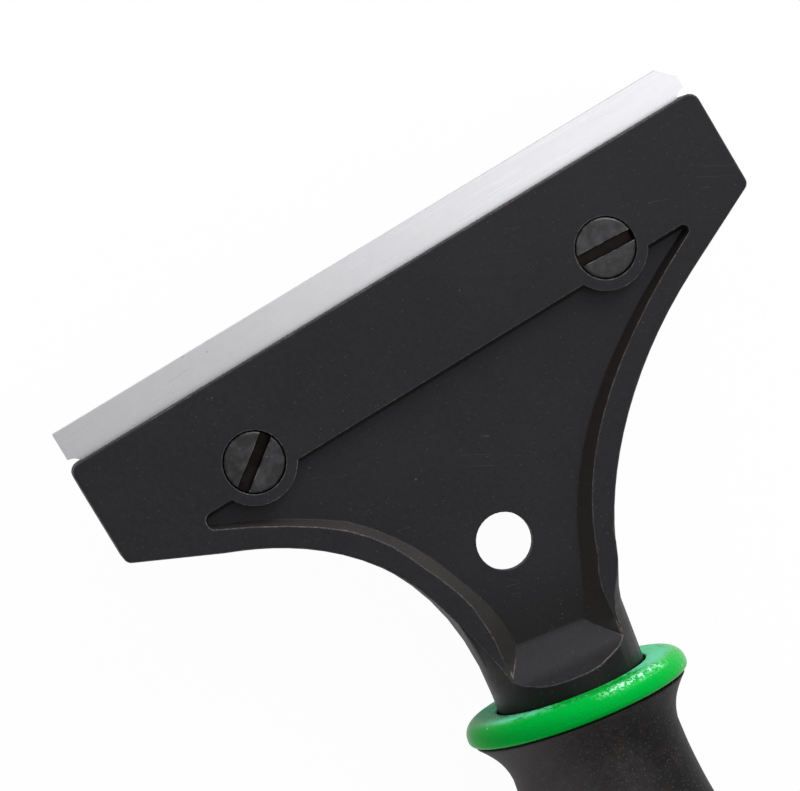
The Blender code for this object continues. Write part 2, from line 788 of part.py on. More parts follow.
def main():
    for item in list(bpy.data.objects):
        bpy.data.objects.remove(item)
    black_plastic = plain_material("black_plastic", (0.026, 0.026, 0.028), 0.5)
    blade_steel = plain_material("blade_steel", (0.62, 0.62, 0.65), 0.32, 1.0)
    black_steel = plain_material("black_steel", (0.022, 0.022, 0.023), 0.38, 0.6)
    zinc_steel = plain_material("zinc_steel", (0.5, 0.5, 0.48), 0.4, 1.0)
    green_plastic = plain_material("green_plastic", (0.0, 0.39, 0.04), 0.35)
    black_rubber = plain_material("black_rubber", (0.02, 0.02, 0.021), 0.8)

    root = empty("scraper")
    handle = empty("handle_frame", root)
    handle.matrix_local = handle_matrix()

    finish(head_body(), black_plastic, root)
    finish(blade(), blade_steel, root)
    finish(clamp_plate(), black_plastic, root)
    for side in (-1, 1):
        finish(screw(side), black_steel, root)
        finish(nut(side), zinc_steel, root)
    finish(collar_ring(), green_plastic, handle)
    finish(grip_sleeve(), black_rubber, handle)
    finish(handle_tube(), black_plastic, handle)
    finish(retaining_pin(), zinc_steel, handle)
    finish(end_cap(), black_plastic, handle)
    set_down(root)


main()
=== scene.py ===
"""Surface scraper: finished surfaces, finishes, floor, light and camera."""

import math

import bmesh
import bpy
import numpy as np
from mathutils import Matrix, Vector


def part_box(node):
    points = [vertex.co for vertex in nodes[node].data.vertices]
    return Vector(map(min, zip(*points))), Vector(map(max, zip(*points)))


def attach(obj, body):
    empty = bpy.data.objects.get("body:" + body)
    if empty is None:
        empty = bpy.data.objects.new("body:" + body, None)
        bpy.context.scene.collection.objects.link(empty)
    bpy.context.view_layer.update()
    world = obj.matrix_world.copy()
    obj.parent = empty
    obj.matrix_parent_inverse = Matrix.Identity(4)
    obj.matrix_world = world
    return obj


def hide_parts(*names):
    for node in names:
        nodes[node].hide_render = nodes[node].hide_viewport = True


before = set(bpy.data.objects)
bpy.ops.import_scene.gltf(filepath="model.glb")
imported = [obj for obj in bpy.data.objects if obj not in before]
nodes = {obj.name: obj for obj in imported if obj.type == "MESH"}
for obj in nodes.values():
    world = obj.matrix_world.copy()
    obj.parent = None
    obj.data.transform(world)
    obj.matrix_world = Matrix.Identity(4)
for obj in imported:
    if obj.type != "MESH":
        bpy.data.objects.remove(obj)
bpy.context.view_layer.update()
MM = 0.001


# Where things are, taken from the loaded model. The handle leaves the head SKEW off square, and
# the screws' heads stand SCREW_PROUD over the face.

SKEW = math.radians(9.8)
SCREW_PROUD = 0.15 * MM


def middle(node):
    """Middle of a node's box, in metres."""
    low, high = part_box(node)
    return (low + high) / 2


ALONG = Vector((-math.sin(SKEW), -math.cos(SKEW), 0.0))
ACROSS = Vector((math.cos(SKEW), -math.sin(SKEW), 0.0))
FRONT = Vector((0.0, 0.0, 1.0))
AXIS_FOOT = middle("handle_tube")
SCREW_MIDDLE = (middle("screw_left") + middle("screw_right")) / 2
FACE_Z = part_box("screw_left")[1].z - SCREW_PROUD
FACE_MIDDLE = Vector((SCREW_MIDDLE.x, SCREW_MIDDLE.y, FACE_Z))


def axis_places(node):
    """Of each point of a node, its distance down the handle axis and its distance out from it."""
    points = np.array([v.co for v in nodes[node].data.vertices], float) - np.array(AXIS_FOOT)
    along = points @ np.array(ALONG)
    return along, np.linalg.norm(points - along[:, None] * np.array(ALONG), axis=1)


# Surfaces. Triangles that turn less than FLAT_TURN are one flat. Points of a computed surface
# that lie within SAME_PLACE are one, and so are corners of a node within SAME_CORNER.

FLAT_TURN = math.radians(0.6)
SAME_PLACE = 1e-7
SAME_CORNER = 1e-6


def linked(name, mesh):
    """Object of a mesh, put into the scene."""
    item = bpy.data.objects.new(name, mesh)
    bpy.context.scene.collection.objects.link(item)
    return item


def turned_surface(name, along, radius, steps):
    """Closed ring of revolution about the handle axis.

    A point at profile place k and turn a is axis(along[k]) + radius[k] * (cos a across + sin a
    front). The profile runs round into itself. The map "unrolled" holds the share of the turn
    and the share of the profile. Doubles are merged, and faces point outward.
    """
    along, radius = np.asarray(along, float), np.asarray(radius, float)
    rows = len(along)
    turn = np.linspace(0.0, 2 * math.pi, steps, endpoint=False)
    ring = (np.cos(turn)[None, :, None] * np.array(ACROSS)
            + np.sin(turn)[None, :, None] * np.array(FRONT))
    points = (np.array(AXIS_FOOT) + along[:, None, None] * np.array(ALONG)
              + radius[:, None, None] * ring).reshape(-1, 3)
    k, i = np.meshgrid(np.arange(rows), np.arange(steps), indexing="ij")
    low, high = k * steps, ((k + 1) % rows) * steps
    step = (i + 1) % steps
    quads = np.stack([low + i, high + i, high + step, low + step], -1).reshape(-1, 4)
    share = np.stack([np.stack([i, i, i + 1, i + 1], -1) / steps,
                      np.stack([k, k + 1, k + 1, k], -1) / rows], -1).reshape(-1, 2)
    mesh = bpy.data.meshes.new(name)
    mesh.from_pydata(points.tolist(), [], quads.tolist())
    mesh.uv_layers.new(name="unrolled").data.foreach_set("uv", share.ravel())
    work = bmesh.new()
    work.from_mesh(mesh)
    bmesh.ops.remove_doubles(work, verts=work.verts, dist=SAME_PLACE)
    bmesh.ops.recalc_face_normals(work, faces=work.faces)
    work.to_mesh(mesh)
    work.free()
    mesh.shade_smooth()
    return linked(name, mesh)


def facet_areas(normals, areas, pairs):
    """Area of the flat facet each triangle belongs to.

    A facet is the largest patch of triangles joined by edges that turn less than FLAT_TURN. Each
    triangle starts with its own label and takes the lowest one of its patch, passed on until
    nothing changes.
    """
    level = (normals[pairs[:, 0]] * normals[pairs[:, 1]]).sum(1) > math.cos(FLAT_TURN)
    pairs = pairs[level]
    label = np.arange(len(areas))
    while True:
        lowest = label.copy()
        np.minimum.at(lowest, pairs[:, 0], label[pairs[:, 1]])
        np.minimum.at(lowest, pairs[:, 1], label[pairs[:, 0]])
        lowest = lowest[lowest]
        if (lowest == label).all():
            return np.bincount(label, areas, len(areas))[label]
        label = lowest


def smooth_corners(mesh, sharp):
    """Corner normals of a triangle mesh: the mean of the normals of the triangles round the
    vertex that turn less than the sharp angle from the corner's own, each weighted by its angle
    there times the area of its flat facet. Large flats so stay flat up to their edges."""
    triangles = np.array([tuple(p.vertices) for p in mesh.polygons])
    points = np.array([tuple(v.co) for v in mesh.vertices])
    corners = points[triangles]
    ahead = np.roll(corners, -1, 1) - corners
    back = np.roll(corners, 1, 1) - corners
    cross = np.cross(ahead[:, 0], back[:, 0])
    areas = np.linalg.norm(cross, axis=1)
    tiny = np.finfo(float).tiny
    normals = cross / np.maximum(areas, tiny)[:, None]
    cosine = (ahead * back).sum(2) / np.maximum(
        np.linalg.norm(ahead, axis=2) * np.linalg.norm(back, axis=2), tiny)
    angles = np.arccos(np.clip(cosine, -1, 1))
    beside = {}
    for place, (a, b, c) in enumerate(triangles):
        for edge in ((a, b), (b, c), (c, a)):
            beside.setdefault((min(edge), max(edge)), []).append(place)
    pairs = np.array([p for p in beside.values() if len(p) == 2])
    weight = angles * facet_areas(normals, areas, pairs)[:, None]
    around = [[] for _ in points]
    for corner, vertex in enumerate(triangles.ravel()):
        around[vertex].append(corner)
    limit = math.cos(math.radians(sharp))
    result = np.empty((triangles.size, 3))
    flat_weight = weight.ravel()
    for group in around:
        own = normals[np.array(group) // 3]
        share = np.where(own @ own.T > limit, flat_weight[group][None, :], 0.0)
        result[group] = share @ own
    result /= np.linalg.norm(result, axis=1)[:, None]
    mesh.normals_split_custom_set(result.tolist())


# Distance below the screw line, and how far the pocket's left wall stands outside the node's
# there, at its foot on the floor and at its top edge on the face

POCKET_DEPTH = 2.0 * MM
WALL_AT = np.array([14.0, 16.0, 18.7, 21.7, 24.0, 26.2, 28.4, 30.5, 32.6, 34.6, 36.6, 38.4,
                    40.2, 41.9, 43.2]) * MM
FOOT_PUSH = np.array([0.0, 0.45, 1.0, 1.55, 1.85, 2.07, 2.13, 1.94, 1.66, 1.35, 1.05, 0.82,
                      0.62, 0.4, 0.0]) * MM
TOP_PUSH = np.array([0.0, 0.25, 0.75, 1.5, 1.95, 1.98, 1.92, 1.75, 1.52, 1.45, 1.19, 0.95,
                     0.8, 0.65, 0.5]) * MM

# Points round the ramp, in millimetres: distance down the handle axis from the screw line,
# distance across it and height over the face, then the shift down, across and up. A point of
# the node is the listed one if it lies within PLACE_SLACK.

RAMP_SHIFTS = (
    (35.97, -10.22, 0.0, 0.0, 0.2, 0.0), (36.06, -10.19, 0.0, 0.0, 0.2, 0.0),
    (36.88, -9.89, 0.0, 0.0, 0.45, 0.0), (38.86, -9.01, 0.0, 0.0, 0.75, 0.0),
    (39.61, -8.64, 0.0, 0.0, 0.75, 0.0), (39.62, -8.73, -0.14, 0.0, 0.45, 0.0),
    (43.47, -6.99, 0.0, 0.0, 0.15, 0.1), (43.06, -3.43, -1.48, 0.26, -0.55, 0.15),
    (43.60, -3.87, -1.14, 0.4, -0.55, 0.25), (43.99, -4.24, -0.89, 0.5, -0.55, 0.34),
    (44.52, -4.83, -0.49, 0.64, -0.5, 0.46), (44.88, -5.20, -0.23, 0.73, -0.4, 0.55),
    (45.14, -5.52, 0.0, 0.8, -0.2, 0.6), (45.14, -6.61, 0.0, 0.8, 0.5, 0.5),
    (45.31, -6.47, 0.15, 0.82, 0.42, 0.5), (45.70, -6.02, 0.5, 0.75, 0.25, 0.45),
    (46.47, -5.01, 1.29, 0.6, 0.0, 0.35), (46.63, -4.79, 1.48, 0.57, 0.0, 0.33),
    (47.00, -4.03, 1.92, 0.5, 0.0, 0.3), (47.18, -4.63, 1.50, 0.6, 0.0, 0.15),
    (47.18, -3.70, 2.15, 0.45, 0.0, 0.28), (47.46, -3.12, 2.54, 0.42, 0.0, 0.25),
    (47.54, -2.93, 2.66, 0.41, 0.0, 0.25), (47.82, -2.01, 3.05, 0.35, 0.0, 0.2),
    (48.06, -1.01, 3.47, 0.25, 0.0, 0.15), (48.31, 1.03, 3.88, 0.12, 0.0, 0.07),
    (48.31, 4.06, 3.89, 0.12, 0.0, 0.07), (48.07, 6.06, 3.48, 0.1, 0.0, 0.06),
    (47.18, 8.73, 2.15, 0.12, 0.0, 0.08), (46.65, 9.67, 1.51, 0.25, 0.0, 0.15),
    (46.47, 9.88, 1.29, 0.35, 0.0, 0.1), (45.70, 10.66, 0.5, 0.6, -0.05, 0.15),
    (45.17, 11.13, 0.03, 0.83, -0.2, 0.15), (45.14, 11.15, 0.0, 0.83, -0.2, 0.15),
    (45.14, 10.66, 0.0, 0.8, 0.0, 0.3), (44.88, 10.37, -0.23, 0.73, -0.1, 0.35),
    (43.99, 9.56, -0.89, 0.5, -0.5, 0.34), (43.05, 8.83, -1.49, 0.26, -0.92, 0.15),
    (42.94, 8.76, -1.55, 0.24, -0.97, 0.13), (42.08, 8.27, -2.0, 0.0, -1.35, 0.0),
    (40.73, 8.42, -2.0, 0.0, -1.0, 0.0), (38.46, 8.72, -2.0, 0.0, -0.5, 0.0),
    (36.12, 9.11, -2.0, 0.0, -0.2, 0.0), (36.42, 11.32, 0.0, 0.0, -0.35, 0.0),
    (36.89, 11.24, 0.0, 0.0, -0.42, 0.0), (38.69, 11.06, 0.0, 0.0, -0.5, 0.0),
    (39.14, 11.00, 0.0, 0.0, -0.48, 0.0), (40.90, 10.88, 0.0, 0.0, -0.25, 0.0),
    (41.33, 10.83, 0.0, 0.0, -0.18, 0.0),
)
PLACE_SLACK = 0.03


def push_left_wall(work):
    """Move the pocket's left wall outward in the plane of the face.

    The wall's faces lean and reach from the pocket's floor to the face. Each of their points
    on the floor or the face moves against the mean lean of its faces, by the push that its
    distance below the screw line gives.
    """
    slack, clear, tall = 0.02 * MM, 0.05 * MM, 1.5 * MM
    steepest, flattest = 0.3, 0.97
    lean = {}
    for face in work.faces:
        heights = [v.co.z - FACE_Z for v in face.verts]
        inside = min(heights) > -POCKET_DEPTH - slack and max(heights) < slack
        leans = steepest < face.normal.z < flattest
        if inside and leans and max(heights) - min(heights) > tall:
            for vert in face.verts:
                lean[vert] = lean.get(vert, Vector()) + face.normal
    for vert, normal in lean.items():
        between = clear < FACE_Z - vert.co.z < POCKET_DEPTH - clear
        if normal.x <= 0.0 or vert.co.x > FACE_MIDDLE.x or between:
            continue
        push = FOOT_PUSH if vert.co.z < FACE_Z - POCKET_DEPTH / 2 else TOP_PUSH
        flat = Vector((normal.x, normal.y, 0.0)).normalized()
        vert.co -= flat * float(np.interp(FACE_MIDDLE.y - vert.co.y, WALL_AT, push))


def shift_ramp(work):
    """Move the listed points round the ramp, each by its own shift."""
    turn = Matrix((ALONG, ACROSS, FRONT))
    found = {}
    for vert in work.verts:
        place = turn @ (vert.co - FACE_MIDDLE) / MM
        for row in RAMP_SHIFTS:
            if (place - Vector(row[:3])).length < PLACE_SLACK:
                found[vert] = Vector(row[3:])
    for vert, shift in found.items():
        vert.co += turn.transposed() @ shift * MM


def change_head(work):
    """Changes for the head's copy: the ramp's points first, then the pocket's left wall.

    The flat face and the pocket's flat floor are whole patches while points move, and are cut
    into triangles anew afterwards.
    """
    slack = 0.002 * MM
    flat = [edge for edge in work.edges if len(edge.link_faces) == 2 and any(
        all(abs(vert.co.z - level) < slack for face in edge.link_faces for vert in face.verts)
        for level in (FACE_Z, FACE_Z - POCKET_DEPTH))]
    bmesh.ops.dissolve_limit(work, angle_limit=FLAT_TURN, verts=[], edges=flat)
    work.normal_update()
    shift_ramp(work)
    push_left_wall(work)
    bmesh.ops.triangulate(work, faces=[face for face in work.faces if len(face.verts) > 3])


GROUND_LEFT = 0.15


def narrow_ground_edge(work):
    """Change for the blade's copy: on its front the ground edges shrink to a thin line.

    Each corner on the front face's long edges that has a corner of the sharp rim farther out at
    its place along the blade moves out, to leave the share GROUND_LEFT of the distance.
    """
    slack, least = 0.01 * MM, 0.05 * MM
    top = max(vert.co.z for vert in work.verts)
    middle_y = middle("blade").y
    front = [vert for vert in work.verts if vert.co.z > top - slack]
    reach = max(abs(vert.co.y - middle_y) for vert in front)
    for vert in front:
        if abs(vert.co.y - middle_y) < reach - slack:
            continue
        side = math.copysign(1.0, vert.co.y - middle_y)
        beyond = [other.co.y for other in work.verts if abs(other.co.x - vert.co.x) < slack
                  and (other.co.y - vert.co.y) * side > least]
        if beyond:
            farthest = max(beyond, key=lambda y: y * side)
            vert.co.y += (farthest - vert.co.y) * (1 - GROUND_LEFT)


# The screws' slots: their turn on the head, half their width in the node and as seen, and how
# deep their points may lie; how far the head's rim stands outside the node's, and how far out
# its points start

SLOT_TURN = {"left": math.radians(37.0), "right": math.radians(-3.5)}
SLOT_HALF = 0.65 * MM
SLOT_SEEN = 0.82 * MM
SLOT_DEEPEST = 2.0 * MM
RIM_PUSH = 0.14 * MM
RIM_FROM = 3.4 * MM


def fuller_screw(side):
    """Change for a screw's copy: its slot opened across, its head's rim pushed out.

    A point of the slot's sides keeps its place along the slot and moves from half the node's
    width to half the seen one. A point farther out than the shank moves away from the axis.
    """
    centre = middle(f"screw_{side}")
    across = Vector((-math.sin(SLOT_TURN[side]), math.cos(SLOT_TURN[side]), 0.0))
    slack = 0.02 * MM

    def change(work):
        for vert in work.verts:
            out = Vector((vert.co.x - centre.x, vert.co.y - centre.y, 0.0))
            apart = out.dot(across)
            if out.length > RIM_FROM:
                vert.co += out.normalized() * RIM_PUSH
            if abs(abs(apart) - SLOT_HALF) < slack and vert.co.z > FACE_Z - SLOT_DEEPEST:
                vert.co += across * math.copysign(SLOT_SEEN - SLOT_HALF, apart)
    return change


# The turn in degrees past which an edge stays crisp. It is less on the head, whose pocket walls
# meet the ramp and the rim at gentle turns.

SHARP = 28.0
HEAD_SHARP = 25.0


def dressed_copy(node, name, body, finish, sharp=SHARP, change=None):
    """The node's own shape, its loose triangles merged and its gentle turns shaded smooth.

    Edges that turn more than the sharp angle stay crisp, and large flats keep their own normal.
    """
    work = bmesh.new()
    work.from_mesh(nodes[node].data)
    bmesh.ops.remove_doubles(work, verts=work.verts, dist=SAME_CORNER)
    if change:
        work.normal_update()
        change(work)
    mesh = bpy.data.meshes.new(name)
    work.to_mesh(mesh)
    work.free()
    mesh.shade_smooth()
    smooth_corners(mesh, sharp)
    mesh.materials.append(finish)
    item = linked(name, mesh)
    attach(item, body)
    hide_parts(node)


# Finishes: small helpers for node trees. A value is a link or plain; the Mix node's colours sit
# at the places MIX_UNDER and MIX_OVER, and what they give at MIX_RESULT.

FLOAT = "NodeSocketFloat"
VECTOR = "NodeSocketVector"
MIX_UNDER, MIX_OVER, MIX_RESULT = 6, 7, 2
FULL_TURN = 2 * math.pi


def join(tree, source, target):
    """Link a socket to a target, or set a plain value on it."""
    if isinstance(source, bpy.types.NodeSocket):
        tree.links.new(source, target)
    else:
        target.default_value = source


def math_node(tree, operation, *values):
    """Result of a math node."""
    node = tree.nodes.new("ShaderNodeMath")
    node.operation = operation
    for place, value in enumerate(values):
        join(tree, value, node.inputs[place])
    return node.outputs[0]


def times(tree, *values):
    """Product of two or more values."""
    result = values[0]
    for value in values[1:]:
        result = math_node(tree, "MULTIPLY", result, value)
    return result


def distance(tree, value, middle_value):
    """How far a value lies from a middle one."""
    return math_node(tree, "ABSOLUTE", math_node(tree, "SUBTRACT", value, middle_value))


def dot(tree, first, second):
    """Scalar product of two vectors, such as a link's part along a fixed direction."""
    node = tree.nodes.new("ShaderNodeVectorMath")
    node.operation = "DOT_PRODUCT"
    join(tree, first, node.inputs[0])
    join(tree, second, node.inputs[1])
    return node.outputs["Value"]


def map_range(tree, value, smooth=False, **edges):
    """Value carried from one range to another; a smooth one stops at its ends without a kink."""
    node = tree.nodes.new("ShaderNodeMapRange")
    if smooth:
        node.interpolation_type = "SMOOTHSTEP"
    join(tree, value, node.inputs["Value"])
    for label, edge in edges.items():
        join(tree, edge, node.inputs[label.replace("_", " ")])
    return node.outputs["Result"]


def rise(tree, value, start, full):
    """0 at start, 1 at full, smooth between; full may be the lower one."""
    return map_range(tree, value, True, From_Min=start, From_Max=full)


def spread(tree, value, low, high):
    """Value from 0 to 1 spread linearly over low to high."""
    return map_range(tree, value, To_Min=low, To_Max=high)


def noise(tree, place, scale, detail, rough=0.5):
    """Value of a noise texture."""
    node = tree.nodes.new("ShaderNodeTexNoise")
    for label, value in (("Vector", place), ("Scale", scale), ("Detail", detail),
                         ("Roughness", rough)):
        join(tree, value, node.inputs[label])
    return node.outputs["Fac"]


def cells(tree, place, scale, feature):
    """What a cell texture puts out."""
    node = tree.nodes.new("ShaderNodeTexVoronoi")
    node.feature = feature
    join(tree, place, node.inputs["Vector"])
    join(tree, scale, node.inputs["Scale"])
    return node.outputs


def stretched(tree, place, share):
    """Place whose first coordinate runs slower by a share, so that a pattern on it grows long."""
    node = tree.nodes.new("ShaderNodeMapping")
    node.inputs["Scale"].default_value = (share, 1.0, 1.0)
    join(tree, place, node.inputs["Vector"])
    return node.outputs["Vector"]


def split(tree, kind, value):
    """Parts of a vector or a colour, by a Separate node of the given kind."""
    node = tree.nodes.new(kind)
    join(tree, value, node.inputs[0])
    return node.outputs


def shader_group(name, numbers, outputs):
    """Empty node group with a Vector input, named number inputs and named outputs; returns it,
    what its inputs give and the sockets it puts out."""
    group = bpy.data.node_groups.new(name, "ShaderNodeTree")
    group.interface.new_socket("Vector", in_out="INPUT", socket_type=VECTOR)
    for label, value in numbers.items():
        made = group.interface.new_socket(label, in_out="INPUT", socket_type=FLOAT)
        made.default_value = value
    for label, kind in outputs.items():
        group.interface.new_socket(label, in_out="OUTPUT", socket_type=kind)
    return group, group.nodes.new("NodeGroupInput").outputs, group.nodes.new(
        "NodeGroupOutput").inputs


def make_mottle():
    """Slow and fast cloudiness in one value: the mean of two noises of unlike size."""
    group, given, put = shader_group("mottle", {"Scale": 100.0, "Fine Scale": 900.0},
                                     {"Value": FLOAT})
    slow = noise(group, given["Vector"], given["Scale"], 3.0, 0.55)
    fast = noise(group, given["Vector"], given["Fine Scale"], 2.0, 0.6)
    join(group, times(group, math_node(group, "ADD", slow, fast), 0.5), put["Value"])
    return group


def make_specks():
    """Loose dust: round spots of a size at the middles of cells. A share of the cells has one,
    and its strength goes from least to 1."""
    group, given, put = shader_group("dust_specks", {"Scale": 900.0, "Size": 0.12, "Share": 0.3},
                                     {"Mask": FLOAT})
    least = 0.3
    found = cells(group, given["Vector"], given["Scale"], "F1")
    spot = math_node(group, "LESS_THAN", found["Distance"], given["Size"])
    chance = split(group, "ShaderNodeSeparateColor", found["Color"])
    kept = math_node(group, "LESS_THAN", chance["Red"], given["Share"])
    strength = math_node(group, "ADD", times(group, chance["Green"], 1.0 - least), least)
    join(group, times(group, spot, kept, strength), put["Mask"])
    return group


def make_scratches():
    """Hairlines: a noise stretched along one turned direction, cut to its thin middle band,
    broken up by a second noise."""
    group, given, put = shader_group(
        "hairlines", {"Turn": 0.0, "Scale": 250.0, "Width": 0.006, "Share": 0.55},
        {"Mask": FLOAT})
    shorter, patch_scale, detail = 0.06, 120.0, 1.0
    turn = group.nodes.new("ShaderNodeVectorRotate")
    turn.rotation_type = "Z_AXIS"
    join(group, given["Vector"], turn.inputs["Vector"])
    join(group, given["Turn"], turn.inputs["Angle"])
    lines = noise(group, stretched(group, turn.outputs["Vector"], shorter), given["Scale"],
                  detail)
    thin = math_node(group, "LESS_THAN", distance(group, lines, 0.5), given["Width"])
    kept = math_node(group, "GREATER_THAN", noise(group, given["Vector"], patch_scale, detail),
                     given["Share"])
    join(group, times(group, thin, kept), put["Mask"])
    return group


def make_rounded_edges():
    """Edges softened by a radius: a mask of where the softened normal leaves the true one, made
    uneven by a fuzz, and the softened normal."""
    group, given, put = shader_group("rounded_edges", {"Radius": 0.0003, "Fuzz": 2.0},
                                     {"Mask": FLOAT, "Normal": VECTOR})
    fuzz_scale, detail, start, full = 1400.0, 2.0, 0.008, 0.06
    soft = group.nodes.new("ShaderNodeBevel")
    soft.samples = 6
    join(group, given["Radius"], soft.inputs["Radius"])
    true = group.nodes.new("ShaderNodeNewGeometry").outputs["Normal"]
    turned = math_node(group, "SUBTRACT", 1.0, dot(group, soft.outputs["Normal"], true))
    fuzz = math_node(group, "SUBTRACT", noise(group, given["Vector"], fuzz_scale, detail), 0.5)
    uneven = math_node(group, "ADD", times(group, fuzz, given["Fuzz"]), 1.0)
    join(group, rise(group, times(group, turned, uneven), start, full), put["Mask"])
    join(group, soft.outputs["Normal"], put["Normal"])
    return group


MOTTLE = make_mottle()
ROUNDED = make_rounded_edges()
SPECKS = make_specks()
HAIRLINES = make_scratches()


def new_finish(name, roughness, metallic=0.0, **sockets):
    """Material with its Principled shader; plain values go straight on the shader's sockets."""
    material = bpy.data.materials.new(name)
    material.use_nodes = True
    tree = material.node_tree
    shader = tree.nodes["Principled BSDF"]
    shader.inputs["Roughness"].default_value = roughness
    shader.inputs["Metallic"].default_value = metallic
    for label, value in sockets.items():
        shader.inputs[label.replace("_", " ")].default_value = value
    return material, tree, shader


def object_place(tree, output="Object"):
    """Object coordinates, or the surface's normal."""
    return tree.nodes.new("ShaderNodeTexCoord").outputs[output]


def unrolled_place(tree):
    """Share of the turn and share of the profile on a turned surface."""
    node = tree.nodes.new("ShaderNodeUVMap")
    node.uv_map = "unrolled"
    shares = split(tree, "ShaderNodeSeparateXYZ", node.outputs["UV"])
    return shares["X"], shares["Y"]


def side_of(tree, turn, towards):
    """1 on the side where the share of the turn is the given one, falling to -1 opposite."""
    off = math_node(tree, "SUBTRACT", turn, towards)
    return math_node(tree, "COSINE", times(tree, off, FULL_TURN))


def use_group(tree, group, place, **values):
    """Group placed in a material with its own values; returns its output, or all of several."""
    node = tree.nodes.new("ShaderNodeGroup")
    node.node_tree = group
    join(tree, place, node.inputs["Vector"])
    for label, value in values.items():
        node.inputs[label.replace("_", " ")].default_value = value
    return node.outputs[0] if len(node.outputs) == 1 else tuple(node.outputs)


def blend_colour(tree, mask, under, over, strength=1.0):
    """Colour under where the mask is 0, covered by over where it is 1, at a strength."""
    node = tree.nodes.new("ShaderNodeMix")
    node.data_type = "RGBA"
    join(tree, mask if strength == 1.0 else times(tree, mask, strength), node.inputs["Factor"])
    for place, colour in ((MIX_UNDER, under), (MIX_OVER, over)):
        join(tree, (*colour, 1.0) if isinstance(colour, tuple) else colour, node.inputs[place])
    return node.outputs[MIX_RESULT]


def bump(tree, shader, height, size, under=None):
    """Bump from a height link into the shader's normal, over another normal if one is given."""
    node = tree.nodes.new("ShaderNodeBump")
    node.inputs["Distance"].default_value = size
    join(tree, height, node.inputs["Height"])
    if under is not None:
        join(tree, under, node.inputs["Normal"])
    join(tree, node.outputs["Normal"], shader.inputs["Normal"])


# Where each zone of the head starts and where it is full: in millimetres over the face, in
# millimetres down the handle axis from the screw line, and as the part of the surface's normal
# that lies along a direction

OVER_FACE = {
    "front edges": (-1.4, -0.8), "back edges": (-8.0, -9.0), "raised": (0.1, 0.5),
    "from the floor up": (-2.4, -2.1), "on the floor": (-1.6, -1.95)}
DOWN_AXIS = {
    "foot of the neck": (45.0, 49.0), "ramp": (36.0, 39.0), "narrow end": (29.0, 43.0),
    "shaded floor": (30.0, 42.0), "short of the handle": (60.0, 55.0)}
OF_NORMAL = {
    "not down the axis": (0.4, 0.2), "not across it": (0.38, 0.22), "facing right": (-0.1, 0.3),
    "not flat": (0.985, 0.93), "not upright": (0.2, 0.4)}


def head_zones(tree, place):
    """Masks of the moulded head: where its convex edges lie, its plain neck, its leaning walls,
    which of them face right and so take painted light, the narrow end of the pocket's floor,
    which takes painted shade, and the narrow end of the pocket, where the walls take painted
    shade."""
    normal = object_place(tree, "Normal")
    height = dot(tree, place, FRONT)
    down = math_node(tree, "SUBTRACT", dot(tree, place, ALONG), FACE_MIDDLE.dot(ALONG))
    upward, sideways = dot(tree, normal, FRONT), dot(tree, normal, ACROSS)

    def high(zone):
        return rise(tree, height, *(FACE_Z + edge * MM for edge in OVER_FACE[zone]))

    def far(zone):
        return rise(tree, down, *(edge * MM for edge in DOWN_AXIS[zone]))

    def turned(part, zone):
        return rise(tree, part, *OF_NORMAL[zone])

    def size(part):
        return math_node(tree, "ABSOLUTE", part)

    edges = math_node(tree, "MAXIMUM", high("front edges"), high("back edges"))
    neck = times(tree, turned(size(dot(tree, normal, ALONG)), "not down the axis"),
                 math_node(tree, "MAXIMUM", high("raised"), far("foot of the neck")))
    above = high("from the floor up")
    climb = times(tree, far("ramp"), turned(size(sideways), "not across it"))
    leaning = times(tree, turned(upward, "not flat"), turned(upward, "not upright"), above,
                    math_node(tree, "SUBTRACT", 1.0, climb))
    # Painted shade: the pocket's floor near the ramp, short of the handle, is darkened
    floor_shade = times(tree, far("shaded floor"), far("short of the handle"), high("on the floor"),
                  above)
    # The mask of walls that face right carries painted light
    return edges, neck, leaning, turned(sideways, "facing right"), floor_shade, far("narrow end")


